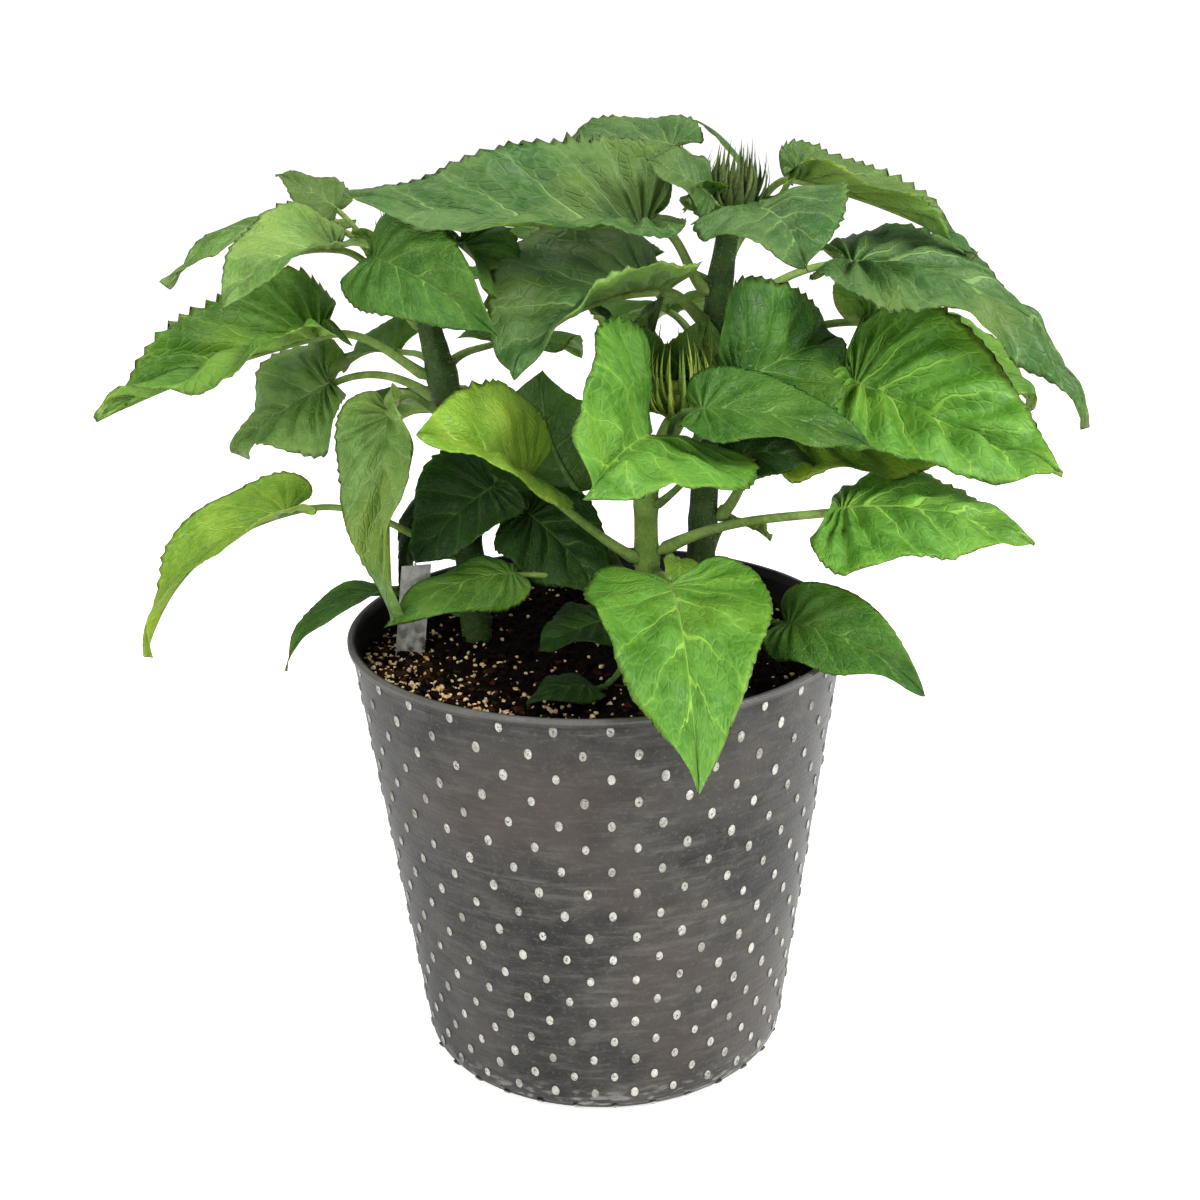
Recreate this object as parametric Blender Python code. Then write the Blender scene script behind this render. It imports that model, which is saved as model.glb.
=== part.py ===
"""A potted sunflower plant: three budding stems with their leaves in a round nursery pot."""

import math

import bmesh
import bpy
from mathutils import Matrix, Vector

MM = 0.001
GAP = 0.3  # clearance between neighbouring pieces
STALK_GAP = 0.8  # clearance from a leaning stem to the flat end of a leaf stalk

# Driving dimensions, in millimetres. The origin is the middle of the pot's flat underside.
POT_HEIGHT = 229
RIM_RADIUS = 125
BASE_RADIUS = 93  # the wall carried straight down to the floor
BASE_ROUNDING = 12
WALL = 1.6
LIP = 1.4  # how far the rolled rim stands proud of the wall
POT_SEGMENTS = 40
FLOOR_THICKNESS = 2.5
DRAIN_HOLES = 6
DRAIN_CIRCLE = 55
DRAIN_RADIUS = 6
DRAIN_TURN = 13  # degrees, so that no hole straddles two of the pot's segments
SOIL_LEVEL = 210
SOCKET_DEPTH = 22  # how far stems and label reach down into the soil
LABEL_WIDTH = 15
LABEL_THICKNESS = 0.8
LABEL_HEIGHT = 50
LABEL_FOOT = (-97, 8)
LABEL_TURN = 10
LABEL_LEAN = (0.12, 0, 1)

CUP = 0.06  # how far a blade's margins hang below its middle, in parts of its width
STALK_RISE = 0.7  # slope at which a leaf stalk leaves the stem
STEM_SIDES = 12
BUD_BRACTS = 12
LEAF_THICKNESS = 1.0
PETIOLE_START = 3.0
PETIOLE_END = 1.9
PETIOLE_RINGS = 5

# Each stem is a run of (x, y, z, radius), from the soil surface to just below its bud.
STEMS = {
    "left": [(-63, 30, 210, 8.0), (-66, 30, 275, 7.2), (-69, 28, 320, 7.2), (-74, 25, 350, 7.6),
             (-80, 23, 380, 5.6), (-86, 20, 408, 4.6)],
    "front": [(28, 18, 210, 7.0), (26, 12, 275, 6.2), (28, 8, 305, 5.8), (36, 4, 325, 5.0), (43, 0, 338, 4.4)],
    "right": [(53, 36, 210, 8.0), (57, 35, 290, 7.4), (60, 35, 340, 7.2), (64, 32, 390, 6.4),
              (70, 30, 430, 5.4)],
}

# Each bud stands on its stem's end: (width across the bracts, height to the bract tips, lean in degrees).
BUDS = {
    "left": (27, 30, -10),
    "front": (36, 36, 15),
    "right": (28, 40, 5),
}

# A blade's half outline, as (half width, length) with the petiole's end at the origin and the tip
# at (0, 1); each row's second pair gives the place on the midrib that the row's side vein leaves.
HALF_OUTLINE = [
    (0.0, 0.0, 0.0),
    (0.12, -0.07, 0.01),
    (0.28, -0.085, 0.03),
    (0.43, -0.01, 0.07),
    (0.50, 0.14, 0.14),
    (0.485, 0.32, 0.24),
    (0.39, 0.52, 0.38),
    (0.255, 0.71, 0.55),
    (0.12, 0.87, 0.75),
    (0.0, 1.0, 1.0),
]

# Each leaf: its stem and the height it leaves it at, the blade's base and tip, its width, how far
# its left and right halves are raised in degrees (seen from the stem, looking out along it), and
# the midrib's bow upwards and to the right, in parts of the blade's length.
LEAVES = {
    # The left stem, from its bud down.
    "leaf_left_01": ("left", 395, (-123, 32, 437), (-154, 46, 452), 24, -20, 30, 0.05, 0),
    "leaf_left_02": ("left", 386, (-120, 0, 423), (-170, -45, 403), 54, 10, 45, 0.12, 0),
    "leaf_left_03": ("left", 376, (-128, 48, 426), (-212, 45, 397), 50, -10, 25, 0.15, 0),
    "leaf_left_04": ("left", 402, (-102, -10, 420), (-42, -52, 389), 50, 48, -2, 0.08, 0),
    "leaf_left_05": ("left", 352, (-130, 8, 380), (-238, -20, 345), 72, 20, 60, 0.03, 0),
    "leaf_left_06": ("left", 340, (-133, 50, 346), (-187, 60, 306), 65, -40, 60, 0.05, 0),
    "leaf_left_07": ("left", 332, (-97, -20, 349), (-98, -45, 249), 50, 66, 22, 0.05, 0),
    "leaf_left_08": ("left", 358, (-50, 50, 365), (-5, 100, 345), 58, 10, 10, 0.1, 0),
    "leaf_left_09": ("left", 356, (-100, 60, 360), (-133, 90, 342), 40, 0, 50, 0.1, 0),
    "leaf_left_10": ("left", 255, (-150, 0, 293), (-228, -10, 220), 46, 20, 40, 0.15, 0),
    "leaf_left_11": ("left", 300, (-50, 0, 303), (-90, -15, 268), 56, 20, 20, 0.1, 0),
    "leaf_left_12": ("left", 270, (-34, 7, 287), (8, -8, 240), 54, 35, -10, 0.05, 0),
    "leaf_left_13": ("left", 270, (-80, 45, 290), (-102, 40, 235), 45, 10, 10, 0.1, 0),
    "leaf_left_14": ("left", 224, (-107, 22, 241), (-158, -15, 213), 24, 0, 25, 0.18, 0),
    "leaf_left_15": ("left", 368, (-82, 78, 392), (-98, 145, 360), 62, 10, 10, 0.12, 0),
    "leaf_left_16": ("left", 310, (-90, 82, 330), (-120, 140, 290), 66, 10, 10, 0.12, 0),
    # The short front stem.
    "leaf_front_01": ("front", 302, (71, -11, 355), (126, 46, 364), 84, 60, 10, 0.05, 0),
    "leaf_front_02": ("front", 318, (50, -38, 350), (131, -55, 333), 42, 25, 0, 0.08, 0),
    "leaf_front_03": ("front", 300, (27, -25, 334), (-4, -120, 332), 108, 2, 78, 0.05, 0),
    "leaf_front_04": ("front", 288, (66, -25, 323), (108, -16, 315), 36, 20, 0, 0.1, 0),
    "leaf_front_05": ("front", 258, (-31, -30, 316), (-79, -80, 352), 76, -10, 85, 0.05, 0),
    "leaf_front_06": ("front", 262, (118, -31, 297), (206, -64, 287), 92, 2, -16, 0.08, 0),
    "leaf_front_07": ("front", 240, (-8, 32, 290), (-25, 42, 352), 84, -90, 90, 0.1, 0),
    "leaf_front_08": ("front", 245, (36, -50, 267), (43, -165, 210), 80, 10, 10, 0.12, 0),
    "leaf_front_09": ("front", 232, (-40, -20, 264), (-103, -45, 246), 34, -40, 20, 0.1, 0),
    "leaf_front_10": ("front", 221, (5, -2, 232), (-30, -16, 222), 44, 10, 10, 0.05, 0),
    "leaf_front_11": ("front", 216, (-4, -60, 219), (-34, -85, 221), 26, 0, 0, 0.1, 0),
    "leaf_front_12": ("front", 285, (15, 62, 300), (-20, 130, 265), 70, 10, 10, 0.12, 0),
    "leaf_front_13": ("front", 308, (26, 22, 351), (38, 28, 393), 52, 70, 0, 0.05, 0),
    "leaf_front_14": ("front", 240, (42, 0, 262), (40, -12, 243), 18, 20, 20, 0.1, 0),
    # The tall right stem.
    "leaf_right_01": ("right", 426, (78, 50, 448), (52, 80, 471), 14, 0, 0, 0.1, 0),
    "leaf_right_02": ("right", 420, (45, 58, 460), (-26, 92, 454), 45, -15, 35, 0.08, 0),
    "leaf_right_03": ("right", 424, (57, 8, 444), (28, -2, 461), 36, 0, 30, 0.05, 0),
    "leaf_right_04": ("right", 425, (82, 3, 437), (98, -62, 417), 70, 30, -5, 0.1, 0),
    "leaf_right_05": ("right", 422, (102, 38, 446), (193, 40, 406), 56, 40, 20, 0.04, 0),
    "leaf_right_06": ("right", 390, (30, 12, 429), (-114, -13, 449), 86, 18, 50, -0.03, 0),
    "leaf_right_07": ("right", 380, (126, 30, 406), (242, 0, 326), 70, 20, -20, 0.18, 0),
    "leaf_right_08": ("right", 375, (32, 6, 399), (-36, -58, 371), 114, 28, 25, 0.08, 0.1),
    "leaf_right_09": ("right", 330, (129, 18, 349), (223, -40, 313), 95, 68, -15, 0, 0),
    "leaf_right_10": ("right", 345, (140, 60, 370), (235, 80, 316), 80, 40, -20, 0.1, 0),
    "leaf_right_11": ("right", 272, (97, 23, 325), (204, 33, 297), 86, 30, -6, 0.06, 0),
    "leaf_right_12": ("right", 232, (92, -45, 244), (154, -85, 221), 43, 45, -10, 0.12, 0),
    "leaf_right_13": ("right", 245, (72, 62, 262), (95, 80, 245), 26, 30, 0, 0.1, 0),
    "leaf_right_14": ("right", 400, (85, 82, 418), (105, 145, 390), 60, 10, 10, 0.12, 0),
    "leaf_right_15": ("right", 352, (42, 88, 372), (20, 155, 340), 72, 10, 10, 0.12, 0),
    "leaf_right_16": ("right", 300, (95, 88, 325), (130, 145, 290), 72, 10, 10, 0.12, 0),
    "leaf_right_17": ("right", 395, (28, 52, 406), (-46, 72, 418), 42, 0, 25, 0.05, 0),
}


def clear_scene():
    for item in list(bpy.data.objects):
        bpy.data.objects.remove(item, do_unlink=True)


def material(name, colour, roughness):
    made = bpy.data.materials.new(name)
    made.use_nodes = True
    surface = made.node_tree.nodes["Principled BSDF"]
    surface.inputs["Base Color"].default_value = (*colour, 1)
    surface.inputs["Roughness"].default_value = roughness
    surface.inputs["Metallic"].default_value = 0.0
    return made


def object_from(bm, name, surface, parent, smooth=True):
    bmesh.ops.recalc_face_normals(bm, faces=bm.faces)
    bmesh.ops.scale(bm, vec=(MM, MM, MM), verts=bm.verts)
    mesh = bpy.data.meshes.new(name)
    bm.to_mesh(mesh)
    bm.free()
    mesh.materials.append(surface)
    if smooth:
        mesh.shade_smooth()
        mesh.set_sharp_from_angle(angle=math.radians(35))
    made = bpy.data.objects.new(name, mesh)
    made.parent = parent
    bpy.context.collection.objects.link(made)
    return made


def ring_of(points, bm):
    return [bm.verts.new(point) for point in points]


def loft(rings, name, surface, parent):
    """One closed body through rings of equal count, with its first and last ring capped."""
    bm = bmesh.new()
    rows = [ring_of(ring, bm) for ring in rings]
    for lower, upper in zip(rows, rows[1:]):
        for i, corner in enumerate(lower):
            after = (i + 1) % len(lower)
            bm.faces.new((corner, lower[after], upper[after], upper[i]))
    bm.faces.new(rows[0])
    bm.faces.new(rows[-1])
    return object_from(bm, name, surface, parent)


def circle(centre, across, along, radius, sides):
    """Points round a centre, in the plane of two unit vectors."""
    return [
        centre + radius * (math.cos(turn) * across + math.sin(turn) * along)
        for turn in (2 * math.pi * i / sides for i in range(sides))
    ]


def turned(profile, name, surface, parent, segments):
    """A closed body of revolution about Z, from (radius, height) points that run once round it."""
    bm = bmesh.new()
    corners = [bm.verts.new((radius, 0, height)) for radius, height in profile]
    edges = [bm.edges.new((a, b)) for a, b in zip(corners, corners[1:])]
    bmesh.ops.spin(
        bm,
        geom=corners + edges,
        axis=(0, 0, 1),
        cent=(0, 0, 0),
        angle=2 * math.pi,
        steps=segments,
        use_merge=True,
    )
    bmesh.ops.remove_doubles(bm, verts=bm.verts, dist=0.01)
    return object_from(bm, name, surface, parent)


def cutter(name, rings):
    """A hidden body that a Boolean takes away."""
    made = loft(rings, name, material(name, (1, 0, 0), 0.5), None)
    made.hide_render = True
    made.display_type = "WIRE"
    return made


def cut(target, tool):
    modifier = target.modifiers.new(tool.name, "BOOLEAN")
    modifier.operation = "DIFFERENCE"
    modifier.object = tool


def wall_radius(height):
    return BASE_RADIUS + (RIM_RADIUS - BASE_RADIUS) * height / POT_HEIGHT


def pot(parent):
    """The nursery pot: a thin tapered wall, a rolled lip and a flat floor with drain holes."""
    inner_rounding = BASE_ROUNDING - WALL
    outer = [(0, 0), (wall_radius(0) - BASE_ROUNDING + 2, 0)]
    for step in range(1, 4):
        turn = math.radians(90 * step / 3)
        outer.append((
            wall_radius(BASE_ROUNDING) - BASE_ROUNDING * (1 - math.sin(turn)),
            BASE_ROUNDING * (1 - math.cos(turn)),
        ))
    lip_under = POT_HEIGHT - 4
    outer += [
        (wall_radius(lip_under), lip_under),
        (wall_radius(lip_under) + LIP, lip_under + 1),
        (RIM_RADIUS + LIP, POT_HEIGHT - 0.8),
        (RIM_RADIUS + LIP - 0.8, POT_HEIGHT),
        (RIM_RADIUS - WALL, POT_HEIGHT),
    ]
    inner = []
    for step in range(3, 0, -1):
        turn = math.radians(90 * step / 3)
        inner.append((
            wall_radius(BASE_ROUNDING) - WALL - inner_rounding * (1 - math.sin(turn)),
            FLOOR_THICKNESS + inner_rounding * (1 - math.cos(turn)),
        ))
    inner += [(wall_radius(0) - BASE_ROUNDING, FLOOR_THICKNESS), (0, FLOOR_THICKNESS)]
    plastic = material("pot_grey_plastic", (0.07, 0.07, 0.075), 0.5)
    made = turned(outer + inner, "pot", plastic, parent, POT_SEGMENTS)
    for hole in range(DRAIN_HOLES):
        turn = math.radians(360 * hole / DRAIN_HOLES + DRAIN_TURN)
        centre = DRAIN_CIRCLE * Vector((math.cos(turn), math.sin(turn), 0))
        rings = [
            circle(centre + Vector((0, 0, z)), Vector((1, 0, 0)), Vector((0, 1, 0)), DRAIN_RADIUS, 10)
            for z in (-3, FLOOR_THICKNESS + 3)
        ]
        cut(made, cutter(f"drain_hole_cutter_{hole + 1}", rings))
    return made


def soil(parent):
    """Potting mix: fills the pot to below its lip, slightly crowned, with sockets for what stands in it."""
    floor = FLOOR_THICKNESS + GAP
    rim = wall_radius(SOIL_LEVEL) - WALL - GAP - 0.4
    foot = wall_radius(BASE_ROUNDING) - WALL - GAP - 0.4
    profile = [(0, floor), (foot - BASE_ROUNDING, floor), (foot - 3, floor + 4), (foot, floor + BASE_ROUNDING)]
    profile += [(rim, SOIL_LEVEL - 3), (rim - 4, SOIL_LEVEL - 1.5), (rim * 0.6, SOIL_LEVEL), (0, SOIL_LEVEL)]
    made = turned(profile, "soil", material("dark_potting_mix", (0.03, 0.02, 0.013), 0.95), parent, POT_SEGMENTS)
    for name, run in STEMS.items():
        x, y, z, radius = run[0]
        rings = [
            circle(Vector((x, y, height)), Vector((1, 0, 0)), Vector((0, 1, 0)), radius + 0.6, STEM_SIDES)
            for height in (SOIL_LEVEL - SOCKET_DEPTH - GAP, SOIL_LEVEL + 20)
        ]
        cut(made, cutter(f"socket_cutter_{name}", rings))
    cut(made, cutter("label_slot_cutter", label_rings(GAP + 0.2, SOIL_LEVEL - SOCKET_DEPTH - GAP - 3, SOIL_LEVEL + 20)))
    return made


def label_rings(growth, bottom, top):
    """Rings of the label's flat outline between two heights, grown all round."""
    facing = math.radians(LABEL_TURN)
    across = Vector((math.cos(facing), math.sin(facing), 0))
    through = Vector((-math.sin(facing), math.cos(facing), 0))
    lean = Vector(LABEL_LEAN)
    rings = []
    for height in (bottom, top):
        centre = Vector((*LABEL_FOOT, SOIL_LEVEL)) + lean * (height - SOIL_LEVEL)
        half = (LABEL_WIDTH / 2 + growth) * across
        thick = (LABEL_THICKNESS / 2 + growth) * through
        rings.append([centre - half - thick, centre + half - thick, centre + half + thick, centre - half + thick])
    return rings


def plant_label(parent):
    """The blank plastic label, pushed upright into the soil."""
    rings = label_rings(0, SOIL_LEVEL - SOCKET_DEPTH, SOIL_LEVEL + LABEL_HEIGHT)
    return loft(rings, "plant_label", material("clear_label_plastic", (0.55, 0.55, 0.52), 0.3), parent)


def stem(name, run, parent):
    """One stem: round, slightly swollen at its nodes, its foot in the soil."""
    x, y, z, radius = run[0]
    route = [(x, y, z - SOCKET_DEPTH, radius)] + run
    centres = [Vector(point[:3]) for point in route]
    rings = []
    for i, point in enumerate(route):
        heading = (centres[min(i + 1, len(route) - 1)] - centres[max(i - 1, 0)]).normalized()
        if i < 2 or i == len(route) - 1:
            heading = Vector((0, 0, 1))
        across = Vector((0, 1, 0)).cross(heading).normalized()
        rings.append(circle(centres[i], across, heading.cross(across), point[3], STEM_SIDES))
    return loft(rings, f"stem_{name}", material(f"green_stem_{name}", (0.16, 0.24, 0.06), 0.6), parent)


def bud(name, width, height, lean, parent):
    """A closed flower bud: a round cup ringed by pointed bracts, with a low dome inside them."""
    x, y, z, radius = STEMS[name][-1]
    half = width / 2
    sides = 2 * BUD_BRACTS
    profile = [
        (radius, 0, 0),
        (half * 0.75, height * 0.14, 0),
        (half, height * 0.36, 0),
        (half * 0.95, height * 0.58, height * 0.05),
        (half * 0.9, height * 0.72, height * 0.28),
        (half * 0.62, height * 0.56, 0),
        (half * 0.25, height * 0.60, 0),
    ]
    rings = []
    for ring_radius, level, tip in profile:
        points = circle(Vector((0, 0, level + GAP)), Vector((1, 0, 0)), Vector((0, 1, 0)), ring_radius, sides)
        rings.append([point + Vector((0, 0, tip if i % 2 else -tip / 2)) for i, point in enumerate(points)])
    made = loft(rings, f"bud_{name}", material(f"bud_bracts_{name}", (0.10, 0.15, 0.06), 0.6), parent)
    made.location = (x * MM, y * MM, (z + radius * abs(math.sin(math.radians(lean)))) * MM)
    made.rotation_euler = (0, math.radians(lean), 0)
    return made


def stem_at(name, height):
    """The stem's centre and radius at a height."""
    run = STEMS[name]
    for lower, upper in zip(run, run[1:]):
        if height <= upper[2] or upper is run[-1]:
            share = (height - lower[2]) / (upper[2] - lower[2])
            x, y, z, radius = (a + (b - a) * share for a, b in zip(lower, upper))
            return Vector((x, y, z)), radius


def bezier(ends, share):
    """The point and heading of a cubic curve."""
    rest = 1 - share
    a, b, c, d = ends
    point = rest**3 * a + 3 * rest**2 * share * b + 3 * rest * share**2 * c + share**3 * d
    heading = rest**2 * (b - a) + 2 * rest * share * (c - b) + share**2 * (d - c)
    return point, heading.normalized()


class Blade:
    """The bent surface of a leaf blade, in (width, length) shares of its size."""

    def __init__(self, base, tip, width, left, right, arch, sway, outward):
        self.base = Vector(base)
        chord = Vector(tip) - self.base
        self.length = chord.length
        self.width = width
        self.raised = {-1: math.radians(left), 1: math.radians(right)}
        self.axis = chord.normalized()
        upward = Vector((0, 0, 1)) + 0.5 * outward
        self.normal = (upward - upward.dot(self.axis) * self.axis).normalized()
        self.side = self.axis.cross(self.normal)
        self.bend = arch * self.normal + sway * self.side

    def frame(self, along):
        """The midrib's point, heading, right-hand side and upper face at a share of the length."""
        bow = 4 * along * (1 - along)
        slope = 4 * (1 - 2 * along)
        centre = self.base + self.length * (along * self.axis + bow * self.bend)
        heading = (self.axis + slope * self.bend).normalized()
        upper = (self.normal - self.normal.dot(heading) * heading).normalized()
        return centre, heading, heading.cross(upper), upper

    def point(self, across, along, lift=0.0):
        """A point of the blade, lifted off its middle surface."""
        centre, _, side, upper = self.frame(along)
        hand = 1 if across > 0 else -1
        angle = self.raised[hand]
        if across == 0:
            middle = (self.raised[1] - self.raised[-1]) / 2
            return centre + lift * (math.cos(middle) * upper - math.sin(middle) * side)
        outwards = math.cos(angle) * hand * side + math.sin(angle) * upper
        facing = math.cos(angle) * upper - math.sin(angle) * hand * side
        droop = CUP * self.width * (2 * across) ** 2
        return centre + abs(across) * self.width * outwards + (lift - droop) * facing


def leaf_ring(blade, half_width, margin_at, midrib_at, lift):
    """The closed line round a blade along one pair of side veins: over its face and back under it."""
    stations = (-1, -0.5, 0, 0.5, 1)
    spots = [(half_width * t, midrib_at + abs(t) * (margin_at - midrib_at)) for t in stations]
    over = [blade.point(x, y, lift if abs(t) < 1 else 0) for t, (x, y) in zip(stations, spots)]
    under = [blade.point(x, y, -lift) for t, (x, y) in zip(stations, spots) if abs(t) < 1]
    return over + under[::-1]


def leaf(name, stem_name, node, base, tip, width, left, right, arch, sway, parent):
    """One leaf, grown as one piece: its stalk from the stem and its heart-shaped blade."""
    foot, stem_radius = stem_at(stem_name, node)
    outward = Vector(base) - foot
    outward.z = 0
    outward.normalize()
    blade = Blade(base, tip, width, left, right, arch, sway, outward)
    _, blade_heading, blade_side, _ = blade.frame(0)
    start = foot + (stem_radius + STALK_GAP) * outward
    reach = (blade.base - start).length
    rising = (outward + STALK_RISE * Vector((0, 0, 1))).normalized()
    ends = (start, start + 0.4 * reach * rising, blade.base - 0.35 * reach * blade_heading, blade.base)
    rings = []
    for step in range(PETIOLE_RINGS):
        share = step / PETIOLE_RINGS
        centre, heading = bezier(ends, share)
        if step == 0:
            heading = outward
        level_side = heading.cross(Vector((0, 0, 1))).normalized()
        side = level_side.lerp(blade_side, share).normalized()
        radius = PETIOLE_START + (PETIOLE_END - PETIOLE_START) * share
        # The loop runs like the blade's: left, over the top, right and back below.
        rings.append(circle(centre, -side, side.cross(heading), radius, 8))
    for half_width, margin_at, midrib_at in HALF_OUTLINE[1:-1]:
        lift = LEAF_THICKNESS / 2 + 0.7 * (1 - midrib_at) ** 6
        rings.append(leaf_ring(blade, half_width, margin_at, midrib_at, lift))
    rings.append(leaf_ring(blade, 0.01, 0.995, 0.98, LEAF_THICKNESS / 3))
    return loft(rings, name, material(f"green_{name}", (0.10, 0.22, 0.05), 0.5), parent)


def main():
    clear_scene()
    plant = bpy.data.objects.new("potted_sunflower", None)
    bpy.context.collection.objects.link(plant)
    pot(plant)
    soil(plant)
    plant_label(plant)
    for name, run in STEMS.items():
        stem(name, run, plant)
    for name, sizes in BUDS.items():
        bud(name, *sizes, plant)
    for name, numbers in LEAVES.items():
        leaf(name, *numbers, plant)


main()
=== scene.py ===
"""The looks of a potted sunflower in bud: its leaves, stems, buds, pot and soil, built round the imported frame."""

import math
import random

import bmesh
import bpy
from mathutils import Matrix, Vector, noise


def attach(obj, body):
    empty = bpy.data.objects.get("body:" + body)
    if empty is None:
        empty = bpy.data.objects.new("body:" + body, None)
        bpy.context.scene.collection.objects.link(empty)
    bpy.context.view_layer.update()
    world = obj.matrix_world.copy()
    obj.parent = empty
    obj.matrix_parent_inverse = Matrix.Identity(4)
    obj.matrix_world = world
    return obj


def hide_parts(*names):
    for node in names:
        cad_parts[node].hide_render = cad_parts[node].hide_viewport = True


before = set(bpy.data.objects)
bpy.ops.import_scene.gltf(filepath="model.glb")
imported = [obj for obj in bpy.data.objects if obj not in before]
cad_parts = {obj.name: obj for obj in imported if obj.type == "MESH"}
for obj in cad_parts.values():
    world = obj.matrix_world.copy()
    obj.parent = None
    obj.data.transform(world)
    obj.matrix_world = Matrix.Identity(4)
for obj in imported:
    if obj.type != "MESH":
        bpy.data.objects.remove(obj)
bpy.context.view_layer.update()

MM = 0.001
UP = Vector((0, 0, 1))

# ---------------------------------------------------------------- sizes, in millimetres

POT_HEIGHT = 229
RIM_RADIUS = 125
BASE_RADIUS = 93
BASE_ROUNDING = 12
WALL = 1.6
LIP = 1.4
SKIN = 0.15  # how far the fine wall stands proud of the frame's faceted one
NUBS_ROUND = 30
NUB_ROWS = 19
NUB_TOP = 222.8
NUB_PITCH = 12.7
NUB_TURN = 8.45  # degrees
NUB_SIZE = 2.4
NUB_PROUD = 0.95
SOIL_LEVEL = 210
BITS_WITHIN = 120.5  # radius that holds the loose bits
THROW = 121  # and how far they are thrown before the ones outside it are thrown again
SOCKET_DEPTH = 22

STEMS = {
    "left": [(-63, 30, 210, 8.0), (-66, 30, 275, 7.2), (-69, 28, 320, 7.2), (-74, 25, 350, 7.6),
             (-80, 23, 380, 5.6), (-86, 20, 408, 4.6)],
    "front": [(28, 18, 210, 7.0), (26, 12, 275, 6.2), (28, 8, 305, 5.8), (36, 4, 325, 5.0), (43, 0, 338, 4.4)],
    "right": [(53, 36, 210, 8.0), (57, 35, 290, 7.4), (60, 35, 340, 7.2), (64, 32, 390, 6.4),
              (70, 30, 430, 5.4)],
}

# A blade's half outline: half width, length along the margin, and the place on the midrib that the
# side vein of that row leaves, with the stalk's end at the origin and the tip at (0, 1).
HALF_OUTLINE = [
    (0.0, 0.0, 0.0),
    (0.12, -0.07, 0.005),
    (0.28, -0.085, 0.012),
    (0.43, -0.01, 0.022),
    (0.50, 0.14, 0.035),
    (0.485, 0.32, 0.07),
    (0.39, 0.52, 0.2),
    (0.255, 0.71, 0.42),
    (0.12, 0.87, 0.68),
    (0.0, 1.0, 1.0),
]
VEINS = len(HALF_OUTLINE) - 1
FULLNESS = 1.07  # a puckered blade is cut this much wider than it lies
RIPPLE = 1.4  # how strongly the margins' ripple and the puckers of the table below are made
PUCKER = 1.5
ABOVE, BELOW, STALK, HAIR = range(4)  # a leaf's surfaces
BUMPS = 0.042  # broad bumps, in parts of the width
BLADE_SKIN = 0.28  # half the blade's thickness
ROOT_HAIR = 0.11  # radius of a hair at its foot

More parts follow.
